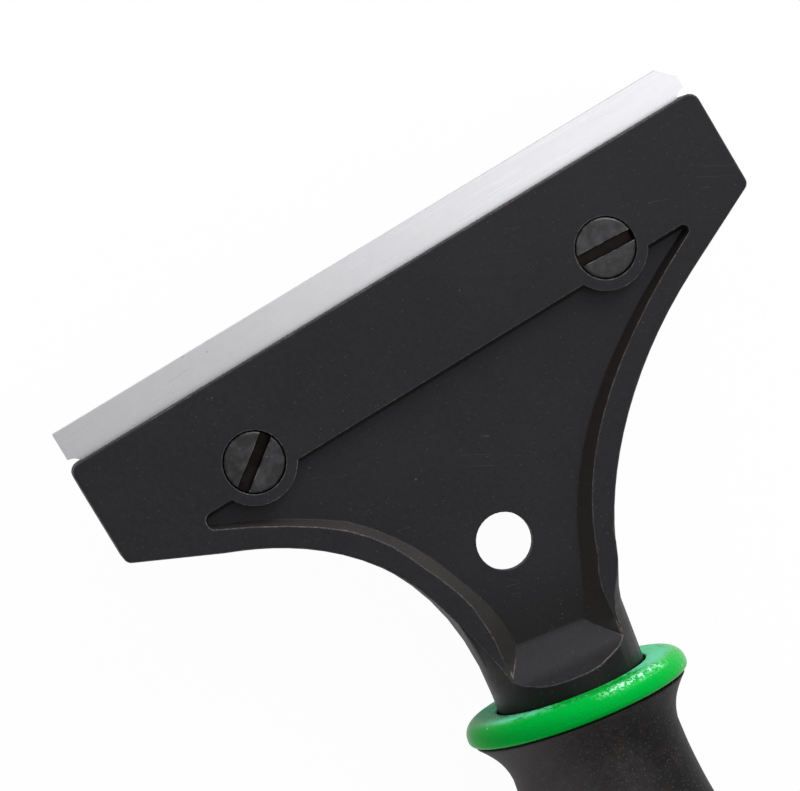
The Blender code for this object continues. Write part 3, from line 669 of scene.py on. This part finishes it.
def head_plastic():
    """Black moulded plastic: cloudy colour and gloss, fine mould grain, dust and hairlines. The
    neck is smoother and darker, the narrow end of the pocket's floor carries painted shade, the
    pocket's walls hold a brown film with painted light on those that face right and painted shade
    towards the narrow end, and edges are rounded, polished by use and rubbed pale in places, a
    pale that is part wear and part painted highlight."""
    dark, light = (0.0116, 0.0105, 0.0130), (0.0160, 0.0147, 0.0177)
    # The near-black for the floor near the ramp is painted shade, the pale film grey is painted
    # light on walls that face right, the dark film is painted shade at the pocket's narrow end,
    # and the pale edge colours are part wear, part painted highlight
    floor_shade_black, neck_black = (0.0065, 0.006, 0.0066), (0.0045, 0.0048, 0.0052)
    film_brown, painted_light_grey = (0.017, 0.0138, 0.0115), (0.03, 0.027, 0.0245)
    painted_shade_dark, dust_grey = (0.0115, 0.0105, 0.0095), (0.15, 0.145, 0.14)
    grey_wear_and_highlight, pale_wear_and_highlight = (0.075, 0.072, 0.075), (0.19, 0.165, 0.15)
    satin, dull, polish = 0.45, 0.56, 0.1
    material, tree, shader = new_finish("head_plastic", satin, Specular_IOR_Level=0.2)
    place = object_place(tree)
    edges, neck, leaning, painted_light_side, floor_shade, narrow = head_zones(tree, place)
    edge_mask, edge_normal = use_group(tree, ROUNDED, place, Radius=0.3 * MM, Fuzz=2.0)
    edge_mask = times(tree, edge_mask, edges)
    cloud = rise(tree, use_group(tree, MOTTLE, place, Scale=70.0, Fine_Scale=1400.0), 0.35, 0.65)
    colour = blend_colour(tree, cloud, dark, light)
    # Painted shade: the pocket's floor near the ramp darkens towards black
    colour = blend_colour(tree, floor_shade, colour, floor_shade_black, strength=0.7)
    # Painted light: the wall film is a lighter grey where the walls face right; the brown tint
    # itself is film
    film = blend_colour(tree, painted_light_side, film_brown, painted_light_grey)
    # Painted shade: the wall film darkens towards the pocket's narrow end
    film = blend_colour(tree, narrow, film, painted_shade_dark, strength=0.8)
    colour = blend_colour(tree, leaning, colour, film, strength=0.8)
    colour = blend_colour(tree, neck, colour, neck_black, strength=0.85)
    rub = rise(tree, use_group(tree, MOTTLE, place, Scale=150.0, Fine_Scale=1600.0), 0.46, 0.6)
    # The pale edge colour is part wear and part painted highlight along the rounded edges
    wear_and_highlight = blend_colour(tree, rub, grey_wear_and_highlight, pale_wear_and_highlight)
    colour = blend_colour(tree, edge_mask, colour, wear_and_highlight, strength=0.72)
    dust = use_group(tree, SPECKS, place, Scale=760.0, Size=0.07, Share=0.06)
    fine_dust = use_group(tree, SPECKS, place, Scale=2300.0, Size=0.2, Share=0.16)
    hair = use_group(tree, HAIRLINES, place, Turn=0.5, Scale=260.0, Width=0.0018, Share=0.66)
    marks = math_node(tree, "MAXIMUM", dust, times(tree, fine_dust, 0.28))
    marks = math_node(tree, "MAXIMUM", marks, times(tree, hair, 0.16))
    join(tree, blend_colour(tree, marks, colour, dust_grey), shader.inputs["Base Color"])
    polished = times(tree, math_node(tree, "MAXIMUM", edge_mask, neck), polish)
    join(tree, math_node(tree, "SUBTRACT", spread(tree, cloud, satin, dull), polished),
         shader.inputs["Roughness"])
    bump(tree, shader, noise(tree, place, 2600.0, 3.0), 0.02 * MM, edge_normal)
    return material


def blade_steel():
    """Spring steel strip: a smooth satin sheet with faint lengthwise roll marks, pale clouds and
    dark pin spots, grey and finely pitted where it is ground thin."""
    grey, pale, roll_grey = (0.66, 0.66, 0.69), (0.78, 0.78, 0.8), (0.6, 0.6, 0.62)
    pit_grey, mark_grey = (0.3, 0.3, 0.32), (0.3, 0.29, 0.28)
    material, tree, shader = new_finish("blade_steel", 0.34, 1.0)
    place = object_place(tree)
    lines = noise(tree, stretched(tree, place, 0.02), 4200.0, 3.0)
    cloud = use_group(tree, MOTTLE, place, Scale=45.0, Fine_Scale=700.0)
    colour = blend_colour(tree, cloud, grey, pale)
    colour = blend_colour(tree, spread(tree, lines, 0.0, 0.25), colour, roll_grey)
    level = math_node(tree, "ABSOLUTE", dot(tree, object_place(tree, "Normal"), FRONT))
    ground = rise(tree, level, 0.9995, 0.98)
    pits = rise(tree, use_group(tree, MOTTLE, place, Scale=900.0, Fine_Scale=2600.0), 0.5, 0.62)
    colour = blend_colour(tree, times(tree, ground, spread(tree, pits, 0.05, 0.4)), colour,
                          pit_grey)
    pins = use_group(tree, SPECKS, place, Scale=420.0, Size=0.08, Share=0.16)
    hair = use_group(tree, HAIRLINES, place, Turn=0.0, Scale=330.0, Width=0.003, Share=0.62)
    marks = math_node(tree, "MAXIMUM", pins, times(tree, hair, 0.3))
    join(tree, blend_colour(tree, marks, colour, mark_grey), shader.inputs["Base Color"])
    join(tree, spread(tree, lines, 0.24, 0.34), shader.inputs["Roughness"])
    bump(tree, shader, lines, 0.002 * MM)
    return material


def black_steel():
    """Blackened screw steel: soft cloudy sheen and a few pale scuffs on top, the slot darkened
    nearly black by painted shade over a brown film, and its edges pale, part wear and part painted
    glint."""
    black, grey, scuff_grey = (0.008, 0.008, 0.009), (0.04, 0.04, 0.044), (0.12, 0.115, 0.11)
    bare_and_glint, glint_grey = (0.3, 0.29, 0.27), (0.3, 0.28, 0.26)
    # The slot's dark and brown colours carry painted shade over a brown film
    painted_shade_dark, film_brown = (0.008, 0.0065, 0.006), (0.02, 0.015, 0.013)
    material, tree, shader = new_finish("black_steel", 0.4, 0.2)
    place = object_place(tree)
    edge_mask, edge_normal = use_group(tree, ROUNDED, place, Radius=0.12 * MM, Fuzz=0.2)
    rub = use_group(tree, MOTTLE, place, Scale=110.0, Fine_Scale=600.0)
    mask = rise(tree, rub, 0.42, 0.68)
    scuff = rise(tree, use_group(tree, MOTTLE, place, Scale=420.0, Fine_Scale=2400.0), 0.62, 0.72)
    colour = blend_colour(tree, mask, black, grey)
    colour = blend_colour(tree, scuff, colour, scuff_grey, strength=0.5)
    # Pale edges: bare steel from wear, and painted glints
    colour = blend_colour(tree, times(tree, edge_mask, rise(tree, rub, 0.5, 0.6)), colour, bare_and_glint)
    # Painted shade: the slot darkens to near black with its depth below the face
    below = math_node(tree, "SUBTRACT", FACE_Z, dot(tree, place, FRONT))
    depth = rise(tree, below, 0.1 * MM, 0.6 * MM)
    colour = blend_colour(tree, depth, colour, blend_colour(tree, mask, painted_shade_dark, film_brown))
    glints = use_group(tree, SPECKS, place, Scale=1500.0, Size=0.14, Share=0.04)
    join(tree, blend_colour(tree, glints, colour, glint_grey), shader.inputs["Base Color"])
    join(tree, spread(tree, depth, 0.2, 0.9), shader.inputs["Metallic"])
    join(tree, spread(tree, mask, 0.34, 0.48), shader.inputs["Roughness"])
    bump(tree, shader, rub, 0.05 * MM, edge_normal)
    return material


def zinc_steel():
    """Zinc-plated steel with a dull cloudy film."""
    dull, bright = (0.42, 0.42, 0.41), (0.62, 0.61, 0.58)
    material, tree, shader = new_finish("zinc_steel", 0.38, 1.0)
    cloud = use_group(tree, MOTTLE, object_place(tree), Scale=260.0, Fine_Scale=1500.0)
    join(tree, blend_colour(tree, cloud, dull, bright), shader.inputs["Base Color"])
    join(tree, spread(tree, cloud, 0.3, 0.5), shader.inputs["Roughness"])
    bump(tree, shader, cloud, 0.02 * MM)
    return material


TOP_SHARE = 0.36


def green_plastic():
    """Bright green plastic: glossy, its flat face and shoulder rubbed chalky pale at both ends, a
    pale that is part real rub and part painted highlight, fine crackle in the gloss, and one patch
    of pale flecks on the shoulder that is a painted highlight. TOP_SHARE is the share of the
    profile at which the top has turned down into the shoulder."""
    # The pale green of the top and ends is part rub, part painted highlight; the flake green is a
    # painted highlight
    deep, bright, powder_and_highlight_green = (0.0, 0.34, 0.026), (0.0, 0.4, 0.05), (0.13, 0.6, 0.34)
    scratch_green, painted_highlight_green, dust_green = (0.3, 0.7, 0.45), (0.5, 0.95, 0.7), (0.5, 0.8, 0.6)
    highlight_turn, highlight_share = 0.175, TOP_SHARE + 0.02
    material, tree, shader = new_finish("green_plastic", 0.26, Specular_IOR_Level=0.08,
                                        Specular_Tint=(0.15, 1.0, 0.5, 1.0))
    place = object_place(tree)
    turn, share = unrolled_place(tree)
    cloud = use_group(tree, MOTTLE, place, Scale=230.0, Fine_Scale=1300.0)
    ends = rise(tree, math_node(tree, "ABSOLUTE", side_of(tree, turn, 0.0)), 0.25, 0.8)
    rubbed = rise(tree, math_node(tree, "ADD", cloud, times(tree, ends, 0.16)), 0.5, 0.72)
    upper = rise(tree, share, TOP_SHARE + 0.02, TOP_SHARE - 0.1)
    # The pale at both ends and on the top is part rubbed powder, part painted highlight
    powder_and_highlight = times(tree, upper, rubbed)
    colour = blend_colour(tree, cloud, deep, bright)
    colour = blend_colour(tree, powder_and_highlight, colour, powder_and_highlight_green)
    scratch = use_group(tree, HAIRLINES, place, Turn=0.9, Scale=420.0, Width=0.01, Share=0.55)
    colour = blend_colour(tree, times(tree, scratch, upper), colour, scratch_green, strength=0.5)
    # Painted highlight: pale flecks in one patch on the shoulder, right of the middle
    near = rise(tree, distance(tree, turn, highlight_turn), 0.085, 0.02)
    level = rise(tree, distance(tree, share, highlight_share), 0.08, 0.01)
    painted_highlight_flakes = rise(tree, use_group(tree, MOTTLE, place, Scale=1100.0, Fine_Scale=2800.0), 0.46, 0.6)
    colour = blend_colour(tree, times(tree, near, level, painted_highlight_flakes), colour, painted_highlight_green)
    dust = use_group(tree, SPECKS, place, Scale=900.0, Size=0.12, Share=0.04)
    join(tree, blend_colour(tree, dust, colour, dust_green), shader.inputs["Base Color"])
    join(tree, spread(tree, powder_and_highlight, 0.2, 0.6), shader.inputs["Roughness"])
    cracks = cells(tree, place, 1500.0, "DISTANCE_TO_EDGE")["Distance"]
    ridges = math_node(tree, "ADD", cracks, cloud)
    bump(tree, shader, times(tree, ridges, spread(tree, upper, 1.0, 0.15)), 0.06 * MM)
    return material


def black_rubber():
    """Soft black rubber: cloudy sheen, pitted grain, rust-brown dust in the pits, and painted
    light in grey on the side away from the one darkened near black by painted shade."""
    dark, light = (0.0165, 0.0157, 0.017), (0.032, 0.0302, 0.0318)
    # The near-black and the grey of the two sides of the turn are painted shade and painted light
    shaded_side_black, lit_side_grey = (0.004, 0.004, 0.0045), (0.068, 0.064, 0.068)
    glint_grey = (0.15, 0.145, 0.155)
    rust_film, rust_brown = (0.034, 0.022, 0.019), (0.095, 0.055, 0.042)
    shaded_side_turn, lit_side_turn = 0.08, 0.44
    material, tree, shader = new_finish("black_rubber", 0.55, Specular_IOR_Level=0.09,
                                        Sheen_Weight=0.03, Sheen_Roughness=0.4)
    place = object_place(tree)
    turn = unrolled_place(tree)[0]
    cloud = use_group(tree, MOTTLE, place, Scale=75.0, Fine_Scale=1100.0)
    colour = blend_colour(tree, rise(tree, cloud, 0.36, 0.64), dark, light)
    # Painted shade: one side of the turn darkened near black
    shaded_side = rise(tree, side_of(tree, turn, shaded_side_turn), 0.5, 0.95)
    colour = blend_colour(tree, shaded_side, colour, shaded_side_black, strength=0.85)
    # Painted light: the side away from the shaded one lightened to grey
    lit_side = rise(tree, side_of(tree, turn, lit_side_turn), 0.4, 1.0)
    colour = blend_colour(tree, lit_side, colour, lit_side_grey, strength=0.75)
    rusty = rise(tree, use_group(tree, MOTTLE, place, Scale=60.0, Fine_Scale=500.0), 0.42, 0.6)
    colour = blend_colour(tree, rusty, colour, rust_film, strength=0.25)
    rust = use_group(tree, SPECKS, place, Scale=1700.0, Size=0.26, Share=0.4)
    colour = blend_colour(tree, times(tree, rust, rusty), colour, rust_brown, strength=0.55)
    glints = use_group(tree, SPECKS, place, Scale=2700.0, Size=0.24, Share=0.5)
    join(tree, blend_colour(tree, glints, colour, glint_grey, strength=0.42),
         shader.inputs["Base Color"])
    join(tree, spread(tree, cloud, 0.42, 0.66), shader.inputs["Roughness"])
    bump(tree, shader, noise(tree, place, 2300.0, 4.0), 0.07 * MM)
    return material


HEAD_PLASTIC = head_plastic()
BLADE_STEEL = blade_steel()
BLACK_STEEL = black_steel()
ZINC_STEEL = zinc_steel()
GREEN_PLASTIC = green_plastic()
BLACK_RUBBER = black_rubber()


def repaint(node, material):
    """A node that keeps its own surface gets one finish."""
    mesh = nodes[node].data
    mesh.materials.clear()
    mesh.materials.append(material)


# The pieces

CREASE = math.radians(40.0)
COLLAR_STEPS, GRIP_STEPS = 240, 256


def collar():
    """Green ring: its profile goes from a bore with a tiny round edge over the flat top and a
    quarter circle for the shoulder to a small quarter circle for the foot, and back below."""
    along, out = axis_places("collar_ring")
    low, high, outer = along.min(), along.max(), out.max()
    inner = 11.2 * MM
    big, small, tiny = 2.2 * MM, 0.8 * MM, 0.25 * MM
    big_steps, tiny_steps, top_steps, under_steps = 14, 5, 12, 10
    quarter = np.linspace(0.0, math.pi / 2, big_steps)
    shoulder_a = low + big - big * np.cos(quarter)
    shoulder_r = outer - big + big * np.sin(quarter)
    foot_a = high - small + small * np.sin(quarter)
    foot_r = outer - small + small * np.cos(quarter)
    rim = np.linspace(0.0, math.pi / 2, tiny_steps)
    bore_a = low + tiny - tiny * np.sin(rim)
    bore_r = inner + tiny - tiny * np.cos(rim)
    top = np.linspace(inner + tiny, outer - big, top_steps)[1:-1]
    under = np.linspace(outer - small, inner, under_steps)[1:]
    along = np.concatenate([bore_a, np.full(top.size, low), shoulder_a, foot_a,
                            np.full(under.size, high)])
    radius = np.concatenate([bore_r, top, shoulder_r, foot_r, under])
    item = turned_surface("green_collar", along, radius, COLLAR_STEPS)
    item.data.materials.append(GREEN_PLASTIC)
    item.data.set_sharp_from_angle(angle=CREASE)
    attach(item, "head_and_handle")
    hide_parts("collar_ring")


def measured_profile(node):
    """Rings of a node that is turned about the handle axis: distance down the axis and radius
    of each, in order down the handle."""
    step, apart = 0.02 * MM, 0.05 * MM
    rings = np.unique(np.round(np.stack(axis_places(node), 1) / step), axis=0) * step
    merged = [rings[0]]
    for ring in rings[1:]:
        if np.abs(ring - merged[-1]).max() > apart:
            merged.append(ring)
    return np.array(merged)


def curve_through(points, fine):
    """Smooth curve through profile points: Catmull-Rom spans, each cut into fine steps.

    On the span from p1 to p2 the point at t is half of 2 p1 + (p2 - p0) t + (2 p0 - 5 p1 + 4 p2
    - p3) t^2 + (3 p1 - p0 - 3 p2 + p3) t^3.
    """
    points = np.asarray(points, float)
    p = np.vstack([2 * points[0] - points[1], points, 2 * points[-1] - points[-2]])
    p0, p1, p2, p3 = (p[i:len(p) - 3 + i, None, :] for i in range(4))
    t = np.linspace(0.0, 1.0, fine, endpoint=False)[None, :, None]
    curve = 0.5 * (2 * p1 + (p2 - p0) * t + (2 * p0 - 5 * p1 + 4 * p2 - p3) * t ** 2
                   + (3 * p1 - p0 - 3 * p2 + p3) * t ** 3)
    return np.vstack([curve.reshape(-1, 2), points[-1:]])


def rounded_lip(start, lip, slope, size, steps):
    """Small circle that rounds the edge between a flat end and a flank that falls by the slope.

    It touches the plane along = start and the line radius = lip - slope * (along - start), so
    its centre lies size down the axis and size * (slope + sqrt(1 + slope^2)) under the lip.
    """
    turn = np.linspace(math.pi, math.atan2(1.0, slope), steps)
    depth = size * (slope + math.hypot(1.0, slope))
    return np.stack([start + size + size * np.cos(turn), lip - depth + size * np.sin(turn)], 1)


def grip():
    """Rubber grip: the node's outer profile drawn as one smooth curve, with a rounded lip at its
    upper end, and closed by plain flat ends and a plain bore."""
    wall, lip_size = 0.5 * MM, 0.15 * MM
    lip_steps, span_steps, end_steps = 8, 6, 6
    rings = measured_profile("grip_sleeve")
    bore = rings[:, 1].min()
    outer = rings[rings[:, 1] > bore + wall]
    outer = outer[np.argsort(outer[:, 0])]
    body = curve_through(outer[1:], span_steps)
    start, end = rings[:, 0].min(), rings[:, 0].max()
    slope = (outer[0, 1] - outer[1, 1]) / (outer[1, 0] - outer[0, 0])
    lip = rounded_lip(*outer[0], slope, lip_size, lip_steps)
    share = np.linspace(0.0, 1.0, end_steps)[1:-1]
    face = np.stack([np.full(share.size, end),
                     body[-1, 1] + (bore - body[-1, 1]) * share], 1)
    back = np.stack([np.full(share.size, start), bore + (lip[0, 1] - bore) * share], 1)
    profile = np.vstack([lip, body, face, [[end, bore], [start, bore]], back])
    item = turned_surface("rubber_grip", profile[:, 0], profile[:, 1], GRIP_STEPS)
    item.data.materials.append(BLACK_RUBBER)
    item.data.set_sharp_from_angle(angle=CREASE)
    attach(item, "head_and_handle")
    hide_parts("grip_sleeve")


collar()
grip()
dressed_copy("head_body", "moulded_head", "head_and_handle", HEAD_PLASTIC,
             sharp=HEAD_SHARP, change=change_head)
dressed_copy("clamp_plate", "clamp_plate_moulding", "clamp_jaw", HEAD_PLASTIC)
for side in ("left", "right"):
    dressed_copy(f"screw_{side}", f"slotted_screw_{side}", f"{side}_screw", BLACK_STEEL,
                 change=fuller_screw(side))
for side in ("left", "right"):
    dressed_copy(f"nut_{side}", f"hexagon_nut_{side}", "clamp_jaw", ZINC_STEEL)
dressed_copy("end_cap", "end_plug", "head_and_handle", HEAD_PLASTIC)
dressed_copy("blade", "steel_strip", "blade_strip", BLADE_STEEL,
             change=narrow_ground_edge)
repaint("handle_tube", HEAD_PLASTIC)
repaint("retaining_pin", ZINC_STEEL)


# Floor, light and camera. The floor's own white covers FLOOR_WHITE of what the camera sees of
# it, so that the rest can hold the shadow, and GLOSS_WHITE of that is what gloss mirrors.

WHITE = (1.0, 1.0, 1.0, 1.0)
PALE = (0.9, 0.9, 0.9, 1.0)
SURROUND = (0.5, 0.5, 0.5, 1.0)
FLOOR_REACH = 3.0
FLOOR_HEIGHT = -0.3 * MM
FLOOR_WHITE = 0.97
GLOSS_WHITE = 0.5

# Name, place from the head's middle in metres, side in metres and power in watts of each lamp

SOFT_BOXES = (("soft_box_over", (0.35, 0.1, 0.7), 0.6, 1.1),
              ("soft_box_top", (0.6, 0.42, 0.62), 0.28, 1.6),
              ("soft_box_low", (0.6, 0.54, 0.22), 0.6, 7.0),
              ("soft_box_left", (-0.75, 0.25, 0.35), 0.5, 0.25))

# The lens and its sensor in millimetres, the nearest seen distance in metres, the camera's place
# from the head's middle in millimetres, and the directions of its right side, top and back

LENS, SENSOR, NEAREST = 148.74, 36.0, 0.01
CAMERA_PLACE = Vector((-55.63, 35.81, 449.4))
CAMERA_TURN = Matrix(((0.8482, -0.5119, 0.1362), (0.5185, 0.8549, -0.0165),
                      (-0.108, 0.0847, 0.9905)))


def mixed(tree, share, first, second, output):
    """The first shader, covered by a share of the second, into an output node's surface."""
    mix = tree.nodes.new("ShaderNodeMixShader")
    join(tree, share, mix.inputs[0])
    join(tree, first.outputs[0], mix.inputs[1])
    join(tree, second.outputs[0], mix.inputs[2])
    join(tree, mix.outputs[0], tree.nodes[output].inputs["Surface"])


def studio_floor():
    """Pale floor that looks white to the camera and in gloss, and keeps part of the shadow."""
    mesh = bpy.data.meshes.new("studio_floor")
    mesh.from_pydata([(x * FLOOR_REACH, y * FLOOR_REACH, 0)
                      for x, y in ((-1, -1), (1, -1), (1, 1), (-1, 1))], [], [(0, 1, 2, 3)])
    floor = linked("studio_floor", mesh)
    floor.location.z = FLOOR_HEIGHT
    material, tree, shader = new_finish("floor_white", 0.9, Specular_IOR_Level=0.0)
    shader.inputs["Base Color"].default_value = PALE
    glow = tree.nodes.new("ShaderNodeEmission")
    path = tree.nodes.new("ShaderNodeLightPath")
    seen = math_node(tree, "MAXIMUM", path.outputs["Is Camera Ray"],
                     times(tree, path.outputs["Is Glossy Ray"], GLOSS_WHITE))
    mixed(tree, times(tree, seen, FLOOR_WHITE), shader, glow, "Material Output")
    mesh.materials.append(material)


def soft_box(name, place, size, power):
    """Square area lamp that faces the head."""
    lamp = bpy.data.lights.new(name, "AREA")
    lamp.shape = "SQUARE"
    lamp.size = size
    lamp.energy = power
    item = linked(name, lamp)
    item.location = FACE_MIDDLE + Vector(place)
    item.rotation_euler = (FACE_MIDDLE - item.location).to_track_quat("-Z", "Y").to_euler()


def studio_light():
    """Even pale surround, white to the camera, and the soft boxes: large ones above the head
    and low beyond it, a small one beside them and a weak one at the left."""
    world = bpy.data.worlds.new("studio")
    bpy.context.scene.world = world
    world.use_nodes = True
    tree = world.node_tree
    around = tree.nodes["Background"]
    around.inputs["Color"].default_value = SURROUND
    white = tree.nodes.new("ShaderNodeBackground")
    white.inputs["Color"].default_value = WHITE
    path = tree.nodes.new("ShaderNodeLightPath")
    mixed(tree, path.outputs["Is Camera Ray"], around, white, "World Output")
    for box in SOFT_BOXES:
        soft_box(*box)


def camera():
    """Camera nearly square above the head, turned so that the blade climbs to the right."""
    lens = bpy.data.cameras.new("camera")
    lens.sensor_fit = "HORIZONTAL"
    lens.sensor_width = SENSOR
    lens.lens = LENS
    lens.clip_start = NEAREST
    item = linked("camera", lens)
    turn = CAMERA_TURN.transposed().to_quaternion().to_matrix().to_4x4()
    item.matrix_world = Matrix.Translation(FACE_MIDDLE + CAMERA_PLACE * MM) @ turn
    bpy.context.scene.camera = item


studio_floor()
studio_light()
camera()
bpy.context.scene.view_settings.view_transform = "Standard"
